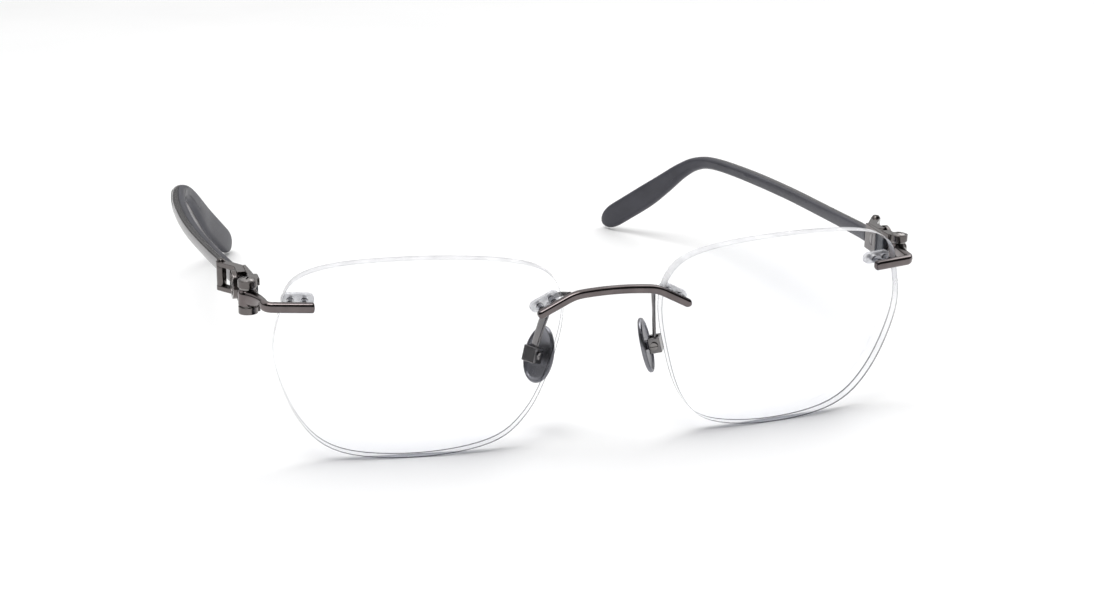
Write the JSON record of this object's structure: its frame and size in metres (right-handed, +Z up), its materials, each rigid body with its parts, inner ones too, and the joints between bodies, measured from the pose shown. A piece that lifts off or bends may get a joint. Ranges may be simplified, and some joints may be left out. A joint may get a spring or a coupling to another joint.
{
  "type": "eyeglasses",
  "caption": "Rimless eyeglasses with clear rounded lenses, square-section bridge and endpieces, metal nose pads and folding two-layer temples with shackle hinges.",
  "frame": {"origin": "on the table under the middle of the glasses' overall box, with the glasses open and standing on the lens bottoms and the temple tips", "axes": "+X to the wearer's left, +Y back along the temples, +Z up"},
  "size_m": [0.1389, 0.1534, 0.039],
  "materials": {
    "clear_lens": "clear polished, anti-reflection coated",
    "clear_sleeve": "clear polished nylon",
    "gunmetal_bar": "polished gunmetal plating",
    "gunmetal_hinge": "polished gunmetal plating",
    "gunmetal_temple": "satin gunmetal plating",
    "slate_acetate": "satin slate-grey acetate",
    "satin_steel": "satin",
    "pad_titanium": "satin titanium",
    "screw_steel": "bright turned steel"
  },
  "bodies": {
    "front": {"bridge": "gunmetal_bar", "bridge_prongs": "gunmetal_bar", "lens_left": "clear_lens", "lens_right": "clear_lens", "nasal_sleeve_left": "clear_sleeve", "nasal_sleeve_right": "clear_sleeve", "temporal_sleeve_left": "clear_sleeve", "temporal_sleeve_right": "clear_sleeve", "endpiece_left": "gunmetal_bar", "endpiece_right": "gunmetal_bar", "endpiece_prongs_left": "gunmetal_bar", "endpiece_prongs_right": "gunmetal_bar", "pad_arm_left": "satin_steel", "pad_arm_right": "satin_steel", "pad_box_left": "satin_steel", "pad_box_right": "satin_steel", "pad_screw_left": "screw_steel", "pad_screw_right": "screw_steel"},
    "left_temple": {"hinge_block_left": "gunmetal_hinge", "hinge_screw_left": "screw_steel", "hinge_washers_left": "screw_steel", "temple_strip_left": "gunmetal_temple", "temple_liner_left": "slate_acetate", "block_screw_left": "screw_steel", "ring_left": "gunmetal_hinge", "shackle_left": "gunmetal_hinge", "shackle_pin_left": "gunmetal_hinge"},
    "right_temple": {"hinge_block_right": "gunmetal_hinge", "hinge_screw_right": "screw_steel", "hinge_washers_right": "screw_steel", "temple_strip_right": "gunmetal_temple", "temple_liner_right": "slate_acetate", "block_screw_right": "screw_steel", "ring_right": "gunmetal_hinge", "shackle_right": "gunmetal_hinge", "shackle_pin_right": "gunmetal_hinge"},
    "left_pad": {"nose_pad_left": "pad_titanium"},
    "right_pad": {"nose_pad_right": "pad_titanium"}
  },
  "joints": [
    {"name": "left_temple_fold", "type": "hinge", "parent": "front", "child": "left_temple", "pos_m": [0.0646, -0.06165, 0.0305], "axis": [0, 0, 1], "range_deg": [0, 88]},
    {"name": "right_temple_fold", "type": "hinge", "parent": "front", "child": "right_temple", "pos_m": [-0.0646, -0.06165, 0.0305], "axis": [0, 0, -1], "range_deg": [0, 74]},
    {"name": "left_pad_rock", "type": "hinge", "parent": "front", "child": "left_pad", "pos_m": [0.01224, -0.06504, 0.0163], "axis": [0.4842, 0.8746, 0.0261], "range_deg": [-8, 8]},
    {"name": "right_pad_rock", "type": "hinge", "parent": "front", "child": "right_pad", "pos_m": [-0.01224, -0.06504, 0.0163], "axis": [-0.4842, 0.8746, 0.0261], "range_deg": [-8, 8]}
  ]
}
